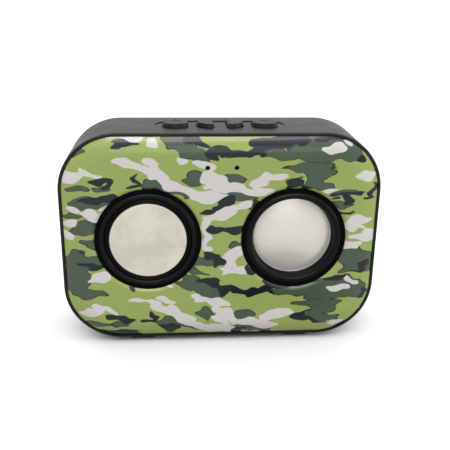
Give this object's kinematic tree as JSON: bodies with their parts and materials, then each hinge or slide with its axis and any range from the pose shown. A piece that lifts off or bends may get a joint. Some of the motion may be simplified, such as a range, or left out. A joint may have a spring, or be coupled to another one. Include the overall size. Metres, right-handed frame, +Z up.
{
  "type": "portable loudspeaker",
  "caption": "Small free-standing box loudspeaker: camouflage front panel, round driver and passive radiator, top keys, rear sockets.",
  "frame": {"origin": "Bottom centre of the whole object, on the surface that its feet stand on.", "axes": "+Z up, +X along the width to the right as seen from the front, +Y from the front panel to the back."},
  "size_m": [0.12, 0.0368, 0.0858],
  "materials": {
    "casing_plastic": "soft-touch satin",
    "camouflage_panel": "printed camouflage under clear gloss",
    "black_plastic": "fine matte",
    "foot_rubber": "matt",
    "surround_rubber": "satin",
    "foam": "closed-cell foam",
    "frame_steel": "black paint",
    "dome_metal": "satin anodised",
    "plate_metal": "fine brushed",
    "cone_paper": "pressed paper",
    "spider_cloth": "impregnated cloth",
    "coil_copper": "enamelled copper",
    "magnet_ferrite": "ferrite",
    "terminal_board": "phenolic",
    "board_green": "solder mask",
    "chip_black": "moulded",
    "socket_steel": "tinned",
    "screw_steel": "dark zinc",
    "battery_wrap": "shrink wrap",
    "lead_plastic": "insulation",
    "plug_plastic": "nylon",
    "clear_plastic": "clear"
  },
  "bodies": {
    "housing": {"rear_casing": "casing_plastic", "front_panel": "camouflage_panel", "baffle_plate": "black_plastic", "port_bezel": "black_plastic", "rubber_feet": "foot_rubber", "casing_screws": "screw_steel", "key_switches": "black_plastic", "main_board": "board_green", "board_screws": "screw_steel", "board_chips": "chip_black", "board_capacitors": "chip_black", "charge_socket": "socket_steel", "charge_contacts": "black_plastic", "card_slot": "socket_steel", "aux_socket": "black_plastic", "power_switch": "socket_steel", "microphone": "socket_steel", "microphone_boot": "foot_rubber", "indicator_led": "clear_plastic", "light_pipe": "clear_plastic", "battery_cell": "battery_wrap", "battery_tabs": "plate_metal", "battery_foam": "foam", "battery_leads": "lead_plastic", "battery_plug": "plug_plastic", "driver_frame": "frame_steel", "driver_seal": "foam", "driver_gasket": "foam", "driver_surround": "surround_rubber", "driver_spider": "spider_cloth", "driver_top_plate": "plate_metal", "driver_magnet": "magnet_ferrite", "driver_yoke": "plate_metal", "driver_terminals": "terminal_board", "driver_leads": "lead_plastic", "driver_plug": "plug_plastic", "driver_screws": "screw_steel", "radiator_frame": "frame_steel", "radiator_seal": "foam", "radiator_gasket": "foam", "radiator_surround": "surround_rubber", "radiator_screws": "screw_steel"},
    "diaphragm": {"driver_dome": "dome_metal", "driver_cone": "cone_paper", "voice_coil": "coil_copper"},
    "passive_diaphragm": {"radiator_plate": "plate_metal", "radiator_weight": "plate_metal"},
    "switch_slider": {"power_knob": "black_plastic"},
    "button_plus": {"key_plus": "casing_plastic", "plunger_plus": "black_plastic"},
    "button_back": {"key_back": "casing_plastic", "plunger_back": "black_plastic"},
    "button_forward": {"key_forward": "casing_plastic", "plunger_forward": "black_plastic"},
    "button_minus": {"key_minus": "casing_plastic", "plunger_minus": "black_plastic"}
  },
  "joints": [
    {"name": "press_plus", "type": "slide", "parent": "housing", "child": "button_plus", "axis": [0, 0, -1], "range_m": [0, 0.0005], "stiffness_N_per_m": 2000},
    {"name": "press_back", "type": "slide", "parent": "housing", "child": "button_back", "axis": [0, 0, -1], "range_m": [0, 0.0005], "stiffness_N_per_m": 2000},
    {"name": "press_forward", "type": "slide", "parent": "housing", "child": "button_forward", "axis": [0, 0, -1], "range_m": [0, 0.0005], "stiffness_N_per_m": 2000},
    {"name": "press_minus", "type": "slide", "parent": "housing", "child": "button_minus", "axis": [0, 0, -1], "range_m": [0, 0.0005], "stiffness_N_per_m": 2000},
    {"name": "slide_switch", "type": "slide", "parent": "housing", "child": "switch_slider", "axis": [1, 0, 0], "range_m": [0, 0.002]},
    {"name": "driver_stroke", "type": "slide", "parent": "housing", "child": "diaphragm", "axis": [0, -1, 0], "range_m": [-0.001, 0.001], "stiffness_N_per_m": 2000, "deforming": ["driver_surround", "driver_spider"]},
    {"name": "radiator_stroke", "type": "slide", "parent": "housing", "child": "passive_diaphragm", "axis": [0, -1, 0], "range_m": [-0.0015, 0.0015], "stiffness_N_per_m": 3000, "deforming": ["radiator_surround"]}
  ]
}
